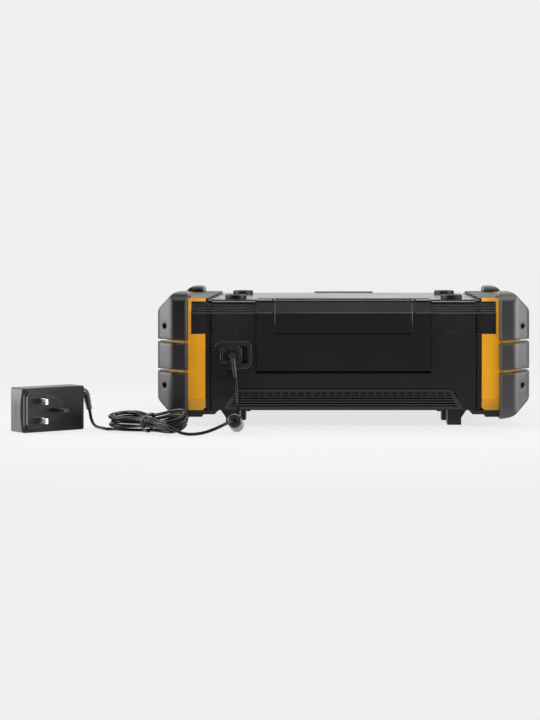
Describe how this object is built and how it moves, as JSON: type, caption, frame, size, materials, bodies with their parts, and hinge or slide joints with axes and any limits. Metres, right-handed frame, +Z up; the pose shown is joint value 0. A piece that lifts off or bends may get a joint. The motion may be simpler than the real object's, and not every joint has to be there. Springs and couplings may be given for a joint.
{
  "type": "jobsite radio",
  "caption": "Wide stackable jobsite radio with corner bumpers, rear battery door, folding handle and a mains adapter on a hank of cord",
  "frame": {"origin": "on the standing surface, midway between the ends and between the front and rear bumpers", "axes": "+Z up, +X towards the end beside the power port, the front with its controls faces -Y, the rear with its battery door faces +Y"},
  "size_m": [0.6048, 0.4445, 0.1594],
  "materials": {
    "lower_housing": "moulded black plastic with a fine grain",
    "upper_housing": "moulded black plastic with a fine grain",
    "front_fascia": "moulded black plastic with a fine grain",
    "end_bands": "moulded black plastic with a fine grain",
    "end_frame_left": "moulded yellow plastic with a fine grain",
    "end_frame_right": "moulded yellow plastic with a fine grain",
    "bumper_front_left": "tough grey rubber, lightly scuffed",
    "bumper_front_right": "tough grey rubber, lightly scuffed",
    "bumper_rear_left": "tough grey rubber, lightly scuffed",
    "bumper_rear_right": "tough grey rubber, lightly scuffed",
    "case_screws": "black-passivated steel",
    "base_rails": "moulded black plastic, lightly scuffed",
    "feet": "moulded black plastic, lightly scuffed",
    "top_studs": "soft black rubber",
    "rear_grille_left": "moulded dark grey mesh panel",
    "rear_grille_right": "moulded dark grey mesh panel",
    "vent_grille": "moulded black plastic",
    "front_grille_left": "black powder-coated steel",
    "front_grille_right": "black powder-coated steel",
    "battery_bay": "moulded black plastic",
    "battery_terminals": "black plastic shoe with plated blades",
    "battery_door": "moulded black plastic with a fine grain",
    "door_hinge_pins": "drawn steel wire",
    "door_latch": "moulded black plastic with a fine grain",
    "door_seal": "soft black foam rubber",
    "port_bezel": "satin black plastic",
    "dc_socket": "satin black plastic",
    "port_cover": "soft black rubber",
    "display_window": "dark tinted clear plastic",
    "display_module": "display cell in a plastic frame",
    "control_board": "green coated circuit board",
    "encoder": "stamped steel shell",
    "encoder_shaft": "turned steel",
    "volume_knob": "rubber-coated black plastic",
    "button_power": "dark grey silicone rubber",
    "button_source": "dark grey silicone rubber",
    "button_clock": "dark grey silicone rubber",
    "button_up": "dark grey silicone rubber",
    "button_down": "dark grey silicone rubber",
    "button_memory": "dark grey silicone rubber",
    "main_board": "green coated circuit board with parts",
    "woofer_left": "coated paper cone and black frame",
    "woofer_right": "coated paper cone and black frame",
    "rear_speakers": "dark grey speaker housings",
    "carry_handle": "moulded black plastic",
    "handle_grip": "soft black rubber",
    "handle_pins": "drawn steel",
    "side_latch_left": "moulded black plastic",
    "side_latch_right": "moulded black plastic",
    "side_latch_pins": "drawn steel",
    "dc_plug": "moulded black vinyl with a plated barrel",
    "cord_port_lead": "smooth black vinyl cord",
    "ferrite_core": "satin black moulded jacket",
    "cord_hank": "smooth black vinyl cord",
    "cord_tie": "black plastic-coated wire tie",
    "cord_adapter_lead": "smooth black vinyl cord",
    "adapter_relief": "moulded black vinyl",
    "adapter_case": "moulded black plastic with a fine grain",
    "adapter_pins": "nickel-plated brass pins in black sleeves",
    "adapter_earth_pin": "black plastic"
  },
  "bodies": {
    "radio_body": {"lower_housing": "lower_housing", "upper_housing": "upper_housing", "front_fascia": "front_fascia", "end_bands": "end_bands", "end_frame_left": "end_frame_left", "end_frame_right": "end_frame_right", "bumper_front_left": "bumper_front_left", "bumper_front_right": "bumper_front_right", "bumper_rear_left": "bumper_rear_left", "bumper_rear_right": "bumper_rear_right", "case_screws": "case_screws", "base_rails": "base_rails", "feet": "feet", "top_studs": "top_studs", "rear_grille_left": "rear_grille_left", "rear_grille_right": "rear_grille_right", "vent_grille": "vent_grille", "front_grille_left": "front_grille_left", "front_grille_right": "front_grille_right", "battery_bay": "battery_bay", "battery_terminals": "battery_terminals", "door_hinge_pins": "door_hinge_pins", "door_seal": "door_seal", "port_bezel": "port_bezel", "dc_socket": "dc_socket", "display_window": "display_window", "display_module": "display_module", "control_board": "control_board", "encoder": "encoder", "main_board": "main_board", "woofer_left": "woofer_left", "woofer_right": "woofer_right", "rear_speakers": "rear_speakers", "handle_pins": "handle_pins", "side_latch_pins": "side_latch_pins", "dc_plug": "dc_plug", "cord_port_lead": "cord_port_lead", "ferrite_core": "ferrite_core", "cord_hank": "cord_hank", "cord_tie": "cord_tie", "cord_adapter_lead": "cord_adapter_lead", "adapter_relief": "adapter_relief", "adapter_case": "adapter_case", "adapter_pins": "adapter_pins", "adapter_earth_pin": "adapter_earth_pin"},
    "battery_door": {"battery_door": "battery_door"},
    "door_latch": {"door_latch": "door_latch"},
    "port_cover": {"port_cover": "port_cover"},
    "volume_knob": {"volume_knob": "volume_knob", "encoder_shaft": "encoder_shaft"},
    "button_power": {"button_power": "button_power"},
    "button_source": {"button_source": "button_source"},
    "button_clock": {"button_clock": "button_clock"},
    "button_up": {"button_up": "button_up"},
    "button_down": {"button_down": "button_down"},
    "button_memory": {"button_memory": "button_memory"},
    "carry_handle": {"carry_handle": "carry_handle", "handle_grip": "handle_grip"},
    "side_latch_left": {"side_latch_left": "side_latch_left"},
    "side_latch_right": {"side_latch_right": "side_latch_right"}
  },
  "joints": [
    {"name": "battery_door_hinge", "type": "hinge", "parent": "radio_body", "child": "battery_door", "pos_m": [0, 0.1584, 0.0692], "axis": [-1, 0, 0], "range_deg": [0, 100]},
    {"name": "door_latch_hinge", "type": "hinge", "parent": "battery_door", "child": "door_latch", "pos_m": [0, 0.1614, 0.112], "axis": [-1, 0, 0], "range_deg": [0, 30]},
    {"name": "port_cover_swivel", "type": "hinge", "parent": "radio_body", "child": "port_cover", "pos_m": [0.142, 0.162, 0.09], "axis": [0, -1, 0], "range_deg": [0, 100]},
    {"name": "volume_knob_turn", "type": "hinge", "parent": "radio_body", "child": "volume_knob", "pos_m": [0, -0.159, 0.057], "axis": [0, 1, 0], "continuous": true},
    {"name": "carry_handle_hinge", "type": "hinge", "parent": "radio_body", "child": "carry_handle", "pos_m": [0, -0.088, 0.141], "axis": [-1, 0, 0], "range_deg": [0, 95]},
    {"name": "side_latch_right_hinge", "type": "hinge", "parent": "radio_body", "child": "side_latch_right", "pos_m": [0.206, 0, 0.114], "axis": [0, -1, 0], "range_deg": [0, 60]},
    {"name": "side_latch_left_hinge", "type": "hinge", "parent": "radio_body", "child": "side_latch_left", "pos_m": [-0.206, 0, 0.114], "axis": [0, 1, 0], "range_deg": [0, 60]},
    {"name": "button_power_press", "type": "slide", "parent": "radio_body", "child": "button_power", "axis": [0, 1, 0], "range_m": [0, 0.0012], "stiffness_N_per_m": 400},
    {"name": "button_source_press", "type": "slide", "parent": "radio_body", "child": "button_source", "axis": [0, 1, 0], "range_m": [0, 0.0012], "stiffness_N_per_m": 400},
    {"name": "button_clock_press", "type": "slide", "parent": "radio_body", "child": "button_clock", "axis": [0, 1, 0], "range_m": [0, 0.0012], "stiffness_N_per_m": 400},
    {"name": "button_up_press", "type": "slide", "parent": "radio_body", "child": "button_up", "axis": [0, 1, 0], "range_m": [0, 0.0012], "stiffness_N_per_m": 400},
    {"name": "button_down_press", "type": "slide", "parent": "radio_body", "child": "button_down", "axis": [0, 1, 0], "range_m": [0, 0.0012], "stiffness_N_per_m": 400},
    {"name": "button_memory_press", "type": "slide", "parent": "radio_body", "child": "button_memory", "axis": [0, 1, 0], "range_m": [0, 0.0012], "stiffness_N_per_m": 400}
  ]
}
